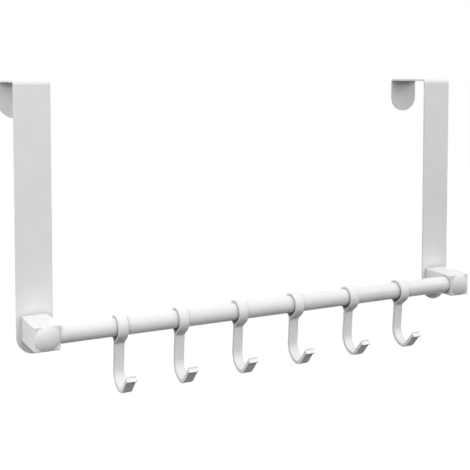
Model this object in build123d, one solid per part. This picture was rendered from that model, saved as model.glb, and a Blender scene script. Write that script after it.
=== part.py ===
from build123d import *
from math import acos, atan2, cos, hypot, radians, sin, tan
import os

# Over door hook rail. Millimetres, Z up, X along the rail, Y from the room towards the door.
# The origin is the door's top front edge, midway between the two straps: the front legs
# lie against the plane Y = 0 and the top plates rest on the plane Z = 0.

# Straps: flat steel strip bent over the door
strap_spacing = 356.7
strap_width = 26.2
strap_thickness = 1.5
door_gap = 45.5
bend_inner_radius = 1.7
leg_below_rail = 18.9
rear_tab_drop = 27.2

# Rail
rail_drop = 173.1
rail_reach = 26.6
rail_diameter = 13.4
rail_wall = 1.0

# Brackets: one moulding each, with a blind socket for the rail and a domed round boss in front
bracket_width = 19.2
bracket_wall = 2.55
bracket_front_wall = 1.1
bracket_draft = 0.7
bracket_corner = 1.2
bracket_edge = 0.6
socket_depth = 14.0
socket_play = 0.05
socket_edge = 0.3
boss_margin = 0.05
boss_rim = 0.45
boss_edge = 0.3
dome_rise = 2.6

# Screw through each strap into its bracket
screw_diameter = 3.0
screw_head_diameter = 6.0
screw_length = 13.0
screw_play = 0.05
screw_bore_spare = 1.0
recess_width = 0.9
recess_span = 3.2
recess_depth = 0.8

# Hooks: one flat profile each, closed round the rail at the top
hook_width = 7.4
hook_play = 0.8
hook_rest = 0.3
ring_wall = 1.7
throat_drop = 10.1
throat_shift = 0.5
stem_thickness = 2.8
stem_offset = 1.0
stem_lean = 4.4
bowl_drop = 42.9
bowl_back_radius = 11.6
bowl_front_radius = 8.0
arm_angle = 49.0
arm_length = 9.8
lip_reach = 2.9
lip_overhang = 1.1
lip_height = 0.8
ridge_height = 0.8
ridge_width = 0.9
neck_blend = 1.2
neck_overlap = 0.5
neck_reach = 2.5
hook_edge = 0.25

# Overshoot of a cut past the face it opens
cut_margin = 1.0

# Sideways shift of each hook from its even place, as hung
hook_shifts = (-3.6, -5.0, -4.7, -4.1, -1.2, 0.2)

# Dependent dimensions
strap_x = strap_spacing / 2
front_leg_drop = rail_drop + leg_below_rail
bend_outer_radius = bend_inner_radius + strap_thickness
rail_radius = rail_diameter / 2
ring_bore_radius = rail_radius + hook_play
ring_outer_radius = ring_bore_radius + ring_wall
ring_sag = hook_play - hook_rest
bracket_height = rail_diameter + 2 * bracket_wall
bracket_front = rail_reach + rail_radius + bracket_front_wall
bracket_depth = bracket_front - strap_thickness
draft_inset = bracket_depth * tan(radians(bracket_draft))
boss_radius = min(bracket_width, bracket_height) / 2 - draft_inset - boss_margin
clear_span = strap_spacing - bracket_width
rail_length = clear_span + 2 * socket_depth
hook_pitch = clear_span / (len(hook_shifts) + 1)


def along_y(radius, y_from, y_to):
    """Cylinder on the Y axis between two stations."""
    turned = Rot(90, 0, 0) * Cylinder(radius, abs(y_to - y_from))
    return Pos(0, (y_from + y_to) / 2, 0) * turned


def end_waste(y_middle, drop):
    """What is cut away below a strip end that reaches down to the drop, to leave it half round."""
    radius = strap_width / 2
    thick = 4 * strap_thickness
    height = radius + 2 * cut_margin
    block = Pos(0, 0, -height / 2) * Box(3 * radius, thick, height)
    keep = along_y(radius, -thick, thick)
    return Pos(0, y_middle, radius - drop) * (block - keep)


def screw_hole():
    """Clearance for the screw: a countersink through the strip and a bore into the bracket."""
    head = screw_head_diameter / 2
    shank = screw_diameter / 2
    floor = -screw_length - screw_bore_spare
    profile = Polyline(
        (0, cut_margin),
        (head + screw_play, cut_margin),
        (head + screw_play, 0),
        (shank + screw_play, shank - head),
        (shank + screw_play, floor),
        (0, floor),
        close=True,
    )
    return Pos(0, 0, -rail_drop) * revolve(make_face(profile), Axis.Y)


def screw():
    """Countersunk screw, its head flush with the strip's door side."""
    head = screw_head_diameter / 2
    shank = screw_diameter / 2
    profile = Polyline(
        (0, 0),
        (head, 0),
        (shank, shank - head),
        (shank, -screw_length),
        (0, -screw_length),
        close=True,
    )
    turned = revolve(make_face(profile), Axis.Y)
    slot = Box(recess_span, 2 * recess_depth, recess_width)
    turned -= slot
    turned -= Rot(0, 90, 0) * slot
    return Pos(0, 0, -rail_drop) * turned


def strap():
    """Strip bent over the door, both ends half round, countersunk behind the bracket."""
    t = strap_thickness
    front = (-t, -front_leg_drop)
    back = (door_gap + t, -rear_tab_drop)
    outer = FilletPolyline(front, (-t, t), (door_gap + t, t), back, radius=bend_outer_radius)
    tab_end = Line(back, (door_gap, -rear_tab_drop))
    tab_inner = (door_gap, -rear_tab_drop)
    leg_inner = (0, -front_leg_drop)
    inner = FilletPolyline(tab_inner, (door_gap, 0), (0, 0), leg_inner, radius=bend_inner_radius)
    leg_end = Line(leg_inner, front)
    outline = Plane.YZ * make_face(outer.edges() + tab_end.edges() + inner.edges() + leg_end.edges())
    strip = extrude(outline, strap_width / 2, both=True)
    strip -= end_waste(-t / 2, front_leg_drop)
    strip -= end_waste(door_gap + t / 2, rear_tab_drop)
    return strip - screw_hole()


def boss():
    """Round boss on the bracket's front: a low rim with a broken edge under a shallow dome."""
    rim = -bracket_front - boss_rim
    foot = rim + boss_edge
    root = -bracket_front + 2 * boss_rim
    taper = dome_rise + 2 * boss_edge
    dome_radius = boss_radius - boss_edge
    sphere = (dome_radius**2 + dome_rise**2) / (2 * dome_rise)
    profile = Polyline(
        (0, root),
        (boss_radius, root),
        (boss_radius, foot),
        (boss_radius - taper, foot - taper),
        (0, foot - taper),
        close=True,
    )
    cover = Pos(0, rim - dome_rise + sphere, 0) * Sphere(sphere)
    return revolve(make_face(profile), Axis.Y) & cover


def bracket():
    """Moulded block on the left strap, with its rail socket on the +X side."""
    wedge = Wedge(
        bracket_width,
        bracket_depth,
        bracket_height,
        draft_inset,
        draft_inset,
        bracket_width - draft_inset,
        bracket_height - draft_inset,
    )
    middle = -strap_thickness - bracket_depth / 2
    block = Pos(0, middle, 0) * Rot(0, 0, 180) * wedge
    block = fillet(block.edges().filter_by(lambda e: abs(e.center().Y - middle) < 1), bracket_corner)
    block = chamfer(block.faces().sort_by(Axis.Y)[0].edges(), bracket_edge)
    block += boss()
    reach = bracket_width / 2
    socket = Rot(0, 90, 0) * Cylinder(rail_radius + socket_play, socket_depth + reach)
    block -= Pos(reach - socket_depth + (socket_depth + reach) / 2, -rail_reach, 0) * socket
    mouth = block.faces().sort_by(Axis.X)[-1].inner_wires().edges()
    block = chamfer(mouth, socket_edge)
    return Pos(0, 0, -rail_drop) * block - screw_hole()


def rail():
    """Hollow rail, standing on the floor of both sockets."""
    tube = Cylinder(rail_radius, rail_length) - Cylinder(rail_radius - rail_wall, rail_length)
    return Pos(0, -rail_reach, -rail_drop) * Rot(0, 90, 0) * tube


def teardrop(radius, point):
    """Disc drawn out to a point below it by its two tangents."""
    reach = hypot(*point)
    aim = atan2(point[1], point[0])
    spread = acos(radius / reach)
    one = (radius * cos(aim - spread), radius * sin(aim - spread))
    two = (radius * cos(aim + spread), radius * sin(aim + spread))
    return Circle(radius) + make_face(Polyline(one, point, two, close=True))


def hook_outline():
    """Side view of a hook about the rail's axis: ring, stem, bowl, rising arm and lip."""
    throat = (throat_shift, -throat_drop)
    grow = ring_outer_radius / ring_bore_radius
    neck = (throat[0] * grow, throat[1] * grow)
    lean = radians(arm_angle)

    slope = radians(stem_lean)
    start = (stem_offset, -throat_drop - neck_overlap)
    end_height = bowl_back_radius * (1 + sin(slope)) - bowl_drop
    end = (stem_offset + (start[1] - end_height) * tan(slope), end_height)
    stem = Line(start, end)
    bottom = (end[0] - bowl_back_radius * cos(slope), -bowl_drop)
    deep_centre = (bottom[0], bowl_back_radius - bowl_drop)
    deep = CenterArc(deep_centre, bowl_back_radius, stem_lean, -90 - stem_lean)
    rise_centre = (bottom[0], bowl_front_radius - bowl_drop)
    rise = CenterArc(rise_centre, bowl_front_radius, -90, -arm_angle)
    foot = (
        rise_centre[0] - bowl_front_radius * sin(lean),
        rise_centre[1] - bowl_front_radius * cos(lean),
    )
    tip = (foot[0] - arm_length * cos(lean), foot[1] + arm_length * sin(lean))
    arm = Line(foot, tip)
    band = trace(Curve() + [stem, deep, rise, arm], stem_thickness)

    def beside(along, inward):
        """Point near the arm's end, along the arm and towards the stem."""
        y = tip[0] - along * cos(lean) + inward * sin(lean)
        return (y, tip[1] + along * sin(lean) + inward * cos(lean))

    half = stem_thickness / 2
    outer = -half - lip_overhang
    lip = make_face(
        Polyline(
            beside(-half, half),
            beside(lip_reach + ridge_height, half),
            beside(lip_reach, half - ridge_width),
            beside(lip_reach, outer),
            beside(lip_reach - lip_height, outer),
            beside(lip_reach - lip_height - lip_overhang, -half),
            beside(-half, -half),
            close=True,
        )
    )
    outline = teardrop(ring_outer_radius, neck) + band + lip
    return outline, throat


def hook():
    """Flat hook profile given its width, with the rail's hole and broken outer edges."""
    outline, throat = hook_outline()
    neck_foot = -throat_drop - ring_wall - neck_reach
    joint = outline.vertices().filter_by(lambda v: neck_foot < v.Y < -throat_drop)
    outline = fillet(joint, neck_blend)
    profile = outline - teardrop(ring_bore_radius, throat)
    solid = extrude(Plane.YZ * profile, hook_width / 2, both=True)
    rims = [side.outer_wire().edges() for side in solid.faces().filter_by(Axis.X)]
    return chamfer(rims[0] + rims[1], hook_edge)


def save(name, solid):
    """One file for each piece, named after it."""
    export_step(solid, f"parts/{name}.step")


os.makedirs("parts", exist_ok=True)
for side, x in (("left", -strap_x), ("right", strap_x)):
    save(f"strap_{side}", Pos(x, 0, 0) * strap())
    save(f"screw_{side}", Pos(x, 0, 0) * screw())
left_bracket = Pos(-strap_x, 0, 0) * bracket()
save("bracket_left", left_bracket)
save("bracket_right", mirror(left_bracket, about=Plane.YZ))
save("rail", rail())
one_hook = hook()
for number, shift in enumerate(hook_shifts, start=1):
    x = number * hook_pitch - clear_span / 2 + shift
    save(f"hook_{number}", Pos(x, -rail_reach, -rail_drop - ring_sag) * one_hook)
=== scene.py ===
import math

import bpy
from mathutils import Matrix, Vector

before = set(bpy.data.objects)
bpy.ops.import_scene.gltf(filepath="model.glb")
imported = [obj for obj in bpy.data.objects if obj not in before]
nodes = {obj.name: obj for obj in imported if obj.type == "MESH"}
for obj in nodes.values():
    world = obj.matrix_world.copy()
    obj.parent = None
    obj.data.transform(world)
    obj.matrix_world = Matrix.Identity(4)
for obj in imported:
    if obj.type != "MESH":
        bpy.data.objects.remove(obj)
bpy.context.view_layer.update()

# Pieces by finish
STRAPS = ("strap_left", "strap_right")
SCREWS = ("screw_left", "screw_right")
BRACKETS = ("bracket_left", "bracket_right")
HOOKS = tuple(name for name in sorted(nodes) if name.startswith("hook_"))

# Roughness at the glossiest spots, and how much rougher the dullest are
STRAP_GLOSS = 0.32
RAIL_GLOSS = 0.16
BRACKET_GLOSS = 0.3
HOOK_GLOSS = 0.28
GLOSS_SPREAD = 0.1

# White coat and white plastic: two tones, reflectivity, width of the soft edges, and how far
# and how deeply painted shade darkens them near another surface. Lengths in metres.
COAT_PALE = (0.84, 0.84, 0.84)
COAT_DARK = (0.80, 0.80, 0.80)
COAT_SPECULAR = 0.2
COAT_EDGE = 0.0004
# Painted shade: reach and darkest tone of the occlusion multiplied into the coat colour
COAT_PAINTED_SHADE_REACH = 0.008
COAT_PAINTED_SHADE_TONE = 0.45
PLASTIC_PALE = (0.85, 0.85, 0.85)
PLASTIC_DARK = (0.82, 0.82, 0.82)
PLASTIC_SPECULAR = 0.15
PLASTIC_EDGE = 0.0003
# Painted shade: reach and darkest tone of the occlusion multiplied into the plastic colour
PLASTIC_PAINTED_SHADE_REACH = 0.007
PLASTIC_PAINTED_SHADE_TONE = 0.4

# Zinc on the screws
ZINC_PALE = (0.70, 0.71, 0.72)
ZINC_DARK = (0.52, 0.53, 0.55)

# Where most of a noise texture lies, and the part of the occlusion that becomes painted shade in
# a crease
NOISE_RANGE = (0.3, 0.7)
PAINTED_SHADE_RANGE = (0.15, 0.85)
PAINTED_SHADE_SAMPLES = 8
EDGE_SAMPLES = 4

# Colour sockets of a Mix node, which has others of the same names
MIX_ONE = 6
MIX_TWO = 7
MIX_RESULT = 2

# Floor, in metres, with its tones where it is seen and to all other light
FLOOR_Z = -0.9
FLOOR_HALF = 6.0
FLOOR_PALE = (0.8, 0.8, 0.8, 1)
FLOOR_LIFT = 0.5
FLOOR_MATT = (0.02, 0.02, 0.02, 1)

# Sky light: strength overhead and towards the horizon, and the height up to which it fades in
SKY_ZENITH = 0.77
SKY_HORIZON = 0.4
SKY_GATE = 0.25
WHITE = (1, 1, 1, 1)

# Lamps: name, place, target, width, depth, watts
PANELS = (
    ("key_light", (-0.6, -0.5, 0.3), (-0.17, 0, -0.15), 0.4, 0.4, 1.3),
    ("near_light", (-0.5, -0.5, 0), (-0.17, 0, -0.15), 0.3, 0.3, 0.7),
    ("fill_light", (0.75, -0.45, 0.3), (0.1, 0, -0.15), 0.5, 0.5, 2.6),
    ("front_light", (0, -0.8, 0.4), (0, 0, -0.15), 0.5, 0.5, 1.7),
    ("side_light", (-0.85, 0.05, 0.1), (-0.1, 0, -0.1), 0.5, 0.5, 1.75),
    ("back_light", (0, 0.9, 0.2), (0, 0, -0.1), 0.8, 0.5, 2.2),
    ("strip_light", (0, 0, 0.75), (0, -0.03, -0.15), 1.4, 0.06, 0.47),
)

# Camera, fitted to measured edges of the photograph: millimetres, metres and degrees
SENSOR_WIDTH = 36.0
LENS = 70.57
LENS_SHIFT = -0.2277
CAMERA_PLACE = (-0.34355, -0.63939, 0.00516)
CAMERA_DIP = 3.287
CAMERA_TURN = -26.944
NEAREST_SEEN = 0.01
FARTHEST_SEEN = 50


def new_material(name):
    """Empty node material with its output and a principled shader."""
    material = bpy.data.materials.new(name)
    material.use_nodes = True
    tree = material.node_tree
    tree.nodes.clear()
    output = tree.nodes.new("ShaderNodeOutputMaterial")
    shader = tree.nodes.new("ShaderNodeBsdfPrincipled")
    tree.links.new(shader.outputs["BSDF"], output.inputs["Surface"])
    return material, tree, shader


def noise(tree, scale, detail, roughness=0.5, stretch=(1, 1, 1)):
    """Noise over the object's own coordinates."""
    place = tree.nodes.new("ShaderNodeTexCoord")
    mapping = tree.nodes.new("ShaderNodeMapping")
    mapping.inputs["Scale"].default_value = stretch
    tree.links.new(place.outputs["Object"], mapping.inputs["Vector"])
    texture = tree.nodes.new("ShaderNodeTexNoise")
    texture.inputs["Scale"].default_value = scale
    texture.inputs["Detail"].default_value = detail
    texture.inputs["Roughness"].default_value = roughness
    tree.links.new(mapping.outputs["Vector"], texture.inputs["Vector"])
    return texture.outputs["Fac"]


def remap(tree, value, low, high, source=NOISE_RANGE):
    """Value stretched from its source range to low..high."""
    node = tree.nodes.new("ShaderNodeMapRange")
    node.inputs["From Min"].default_value = source[0]
    node.inputs["From Max"].default_value = source[1]
    node.inputs["To Min"].default_value = low
    node.inputs["To Max"].default_value = high
    tree.links.new(value, node.inputs["Value"])
    return node.outputs["Result"]


def blend_colours(tree, factor, one, two):
    """Colour between two, by the factor."""
    node = tree.nodes.new("ShaderNodeMix")
    node.data_type = "RGBA"
    node.inputs[MIX_ONE].default_value = (*one, 1)
    node.inputs[MIX_TWO].default_value = (*two, 1)
    tree.links.new(factor, node.inputs["Factor"])
    return node.outputs[MIX_RESULT]


def bump(tree, height, strength, distance, under=None):
    """Relief of the given depth, on top of another where there is one."""
    node = tree.nodes.new("ShaderNodeBump")
    node.inputs["Strength"].default_value = strength
    node.inputs["Distance"].default_value = distance
    tree.links.new(height, node.inputs["Height"])
    if under:
        tree.links.new(under, node.inputs["Normal"])
    return node.outputs["Normal"]


def soft_edges(tree, radius):
    """Normal that rolls softly over each sharp edge."""
    node = tree.nodes.new("ShaderNodeBevel")
    node.samples = EDGE_SAMPLES
    node.inputs["Radius"].default_value = radius
    return node.outputs["Normal"]


def painted_crease_shade(tree, colour, reach, darkest):
    """The colour with painted shade: darker where another surface lies within the given reach."""
    # Painted shade: occlusion within the reach multiplies the colour down in creases and between
    # parts
    near = tree.nodes.new("ShaderNodeAmbientOcclusion")
    near.samples = PAINTED_SHADE_SAMPLES
    near.inputs["Distance"].default_value = reach
    shade = tree.nodes.new("ShaderNodeMix")
    shade.data_type = "RGBA"
    shade.blend_type = "MULTIPLY"
    shade.inputs["Factor"].default_value = 1.0
    painted_shade_factor = remap(tree, near.outputs["AO"], darkest, 1, PAINTED_SHADE_RANGE)
    tree.links.new(colour, shade.inputs[MIX_ONE])
    tree.links.new(painted_shade_factor, shade.inputs[MIX_TWO])
    return shade.outputs[MIX_RESULT]


def powder_coat(name, gloss):
    """White powder coat: a fine orange peel, a little uneven in gloss and tone, with painted
    shade in its creases.
    """
    material, tree, shader = new_material(name)
    shader.inputs["Specular IOR Level"].default_value = COAT_SPECULAR
    tone = remap(tree, noise(tree, scale=35, detail=4), 0, 1)
    colour = blend_colours(tree, tone, COAT_DARK, COAT_PALE)
    # Painted shade in creases and where parts meet
    shaded = painted_crease_shade(tree, colour, COAT_PAINTED_SHADE_REACH, COAT_PAINTED_SHADE_TONE)
    tree.links.new(shaded, shader.inputs["Base Color"])
    rough = remap(tree, noise(tree, scale=90, detail=3), gloss, gloss + GLOSS_SPREAD)
    tree.links.new(rough, shader.inputs["Roughness"])
    peel = noise(tree, scale=420, detail=2)
    broad = bump(tree, peel, strength=0.25, distance=0.00025, under=soft_edges(tree, COAT_EDGE))
    grain = noise(tree, scale=1400, detail=2)
    fine = bump(tree, grain, strength=0.18, distance=0.00008, under=broad)
    tree.links.new(fine, shader.inputs["Normal"])
    return material


def moulded_white(name, gloss):
    """Glossy white moulding: near smooth, with faint flow marks, a soft tone and painted shade in
    its creases.
    """
    material, tree, shader = new_material(name)
    shader.inputs["Specular IOR Level"].default_value = PLASTIC_SPECULAR
    tone = remap(tree, noise(tree, scale=60, detail=4, roughness=0.6), 0, 1)
    colour = blend_colours(tree, tone, PLASTIC_DARK, PLASTIC_PALE)
    # Painted shade in creases and where parts meet
    shaded = painted_crease_shade(tree, colour, PLASTIC_PAINTED_SHADE_REACH, PLASTIC_PAINTED_SHADE_TONE)
    tree.links.new(shaded, shader.inputs["Base Color"])
    rough = remap(tree, noise(tree, scale=140, detail=3), gloss, gloss + GLOSS_SPREAD)
    tree.links.new(rough, shader.inputs["Roughness"])
    marks = noise(tree, scale=160, detail=2, stretch=(1, 1, 0.35))
    flow = bump(tree, marks, strength=0.12, distance=0.0003, under=soft_edges(tree, PLASTIC_EDGE))
    grain = noise(tree, scale=2600, detail=2)
    fine = bump(tree, grain, strength=0.12, distance=0.00004, under=flow)
    tree.links.new(fine, shader.inputs["Normal"])
    return material


def zinc_plate():
    """Dull zinc on the screws, drawn slightly along the shank."""
    material, tree, shader = new_material("zinc_plate")
    tone = remap(tree, noise(tree, scale=900, detail=4), 0, 1)
    colour = blend_colours(tree, tone, ZINC_DARK, ZINC_PALE)
    tree.links.new(colour, shader.inputs["Base Color"])
    shader.inputs["Metallic"].default_value = 1.0
    rough = remap(tree, noise(tree, scale=1500, detail=3), 0.3, 0.5)
    tree.links.new(rough, shader.inputs["Roughness"])
    drawn = noise(tree, scale=3000, detail=2, stretch=(1, 0.2, 1))
    grain = bump(tree, drawn, strength=0.2, distance=0.00005)
    tree.links.new(grain, shader.inputs["Normal"])
    return material


def dress(names, material):
    """Gives the material to each named CAD node."""
    for name in names:
        for slot in nodes[name].material_slots:
            slot.material = material


def background_rays(tree):
    """One for the rays that show the background: camera, glossy and transmission rays."""
    path = tree.nodes.new("ShaderNodeLightPath")
    seen = path.outputs["Is Camera Ray"]
    for kind in ("Is Glossy Ray", "Is Transmission Ray"):
        either = tree.nodes.new("ShaderNodeMath")
        either.operation = "MAXIMUM"
        tree.links.new(seen, either.inputs[0])
        tree.links.new(path.outputs[kind], either.inputs[1])
        seen = either.outputs["Value"]
    return seen


def where_seen(tree, unseen, seen):
    """The second shader for the rays that show the background, the first for all others."""
    pick = tree.nodes.new("ShaderNodeMixShader")
    tree.links.new(background_rays(tree), pick.inputs["Fac"])
    tree.links.new(unseen, pick.inputs[1])
    tree.links.new(seen, pick.inputs[2])
    return pick.outputs["Shader"]


def make_floor():
    """Floor well below the hung rail: white where it is seen, dark to all other light."""
    mesh = bpy.data.meshes.new("studio_floor")
    half = FLOOR_HALF
    outline = ((-half, -half), (half, -half), (half, half), (-half, half))
    mesh.from_pydata([(x, y, FLOOR_Z) for x, y in outline], [], [(0, 1, 2, 3)])
    floor = bpy.data.objects.new("studio_floor", mesh)
    bpy.context.scene.collection.objects.link(floor)
    material = bpy.data.materials.new("studio_white")
    material.use_nodes = True
    tree = material.node_tree
    tree.nodes.clear()
    output = tree.nodes.new("ShaderNodeOutputMaterial")
    matt = tree.nodes.new("ShaderNodeBsdfDiffuse")
    matt.inputs["Color"].default_value = FLOOR_MATT
    pale = tree.nodes.new("ShaderNodeBsdfDiffuse")
    pale.inputs["Color"].default_value = FLOOR_PALE
    lift = tree.nodes.new("ShaderNodeEmission")
    lift.inputs["Strength"].default_value = FLOOR_LIFT
    both = tree.nodes.new("ShaderNodeAddShader")
    tree.links.new(pale.outputs["BSDF"], both.inputs[0])
    tree.links.new(lift.outputs["Emission"], both.inputs[1])
    surface = where_seen(tree, matt.outputs["BSDF"], both.outputs["Shader"])
    tree.links.new(surface, output.inputs["Surface"])
    mesh.materials.append(material)


def make_world():
    """Soft light from above the horizon, none from below it, white where it is seen."""
    world = bpy.data.worlds.new("studio_world")
    bpy.context.scene.world = world
    world.use_nodes = True
    tree = world.node_tree
    tree.nodes.clear()
    output = tree.nodes.new("ShaderNodeOutputWorld")
    direction = tree.nodes.new("ShaderNodeTexCoord")
    split = tree.nodes.new("ShaderNodeSeparateXYZ")
    tree.links.new(direction.outputs["Generated"], split.inputs["Vector"])
    height = split.outputs["Z"]
    level = tree.nodes.new("ShaderNodeMath")
    level.operation = "MULTIPLY"
    tree.links.new(remap(tree, height, 0, 1, (0, SKY_GATE)), level.inputs[0])
    tree.links.new(remap(tree, height, SKY_HORIZON, SKY_ZENITH, (0, 1)), level.inputs[1])
    light = tree.nodes.new("ShaderNodeBackground")
    light.inputs["Color"].default_value = WHITE
    tree.links.new(level.outputs["Value"], light.inputs["Strength"])
    white = tree.nodes.new("ShaderNodeBackground")
    white.inputs["Color"].default_value = WHITE
    surface = where_seen(tree, light.outputs["Background"], white.outputs["Background"])
    tree.links.new(surface, output.inputs["Surface"])


def add_panel(name, place, target, width, depth, power):
    """Soft rectangular lamp that faces the target."""
    data = bpy.data.lights.new(name, "AREA")
    data.shape = "RECTANGLE"
    data.energy = power
    data.size = width
    data.size_y = depth
    lamp = bpy.data.objects.new(name, data)
    lamp.location = place
    away = Vector(place) - Vector(target)
    lamp.rotation_euler = away.to_track_quat("Z", "Y").to_euler()
    bpy.context.scene.collection.objects.link(lamp)


def add_camera():
    """Camera at the photograph's place, its optical axis above the frame's middle."""
    data = bpy.data.cameras.new("camera")
    data.sensor_width = SENSOR_WIDTH
    data.lens = LENS
    data.shift_y = LENS_SHIFT
    data.clip_start = NEAREST_SEEN
    data.clip_end = FARTHEST_SEEN
    camera = bpy.data.objects.new("camera", data)
    camera.location = CAMERA_PLACE
    camera.rotation_euler = (math.radians(90 - CAMERA_DIP), 0, math.radians(CAMERA_TURN))
    bpy.context.scene.collection.objects.link(camera)
    bpy.context.scene.camera = camera


dress(STRAPS, powder_coat("strap_coat", STRAP_GLOSS))
dress(("rail",), powder_coat("rail_coat", RAIL_GLOSS))
dress(BRACKETS, moulded_white("bracket_plastic", BRACKET_GLOSS))
dress(HOOKS, moulded_white("hook_plastic", HOOK_GLOSS))
dress(SCREWS, zinc_plate())

make_floor()
make_world()
for panel in PANELS:
    add_panel(*panel)
add_camera()

bpy.context.scene.view_settings.view_transform = "Standard"
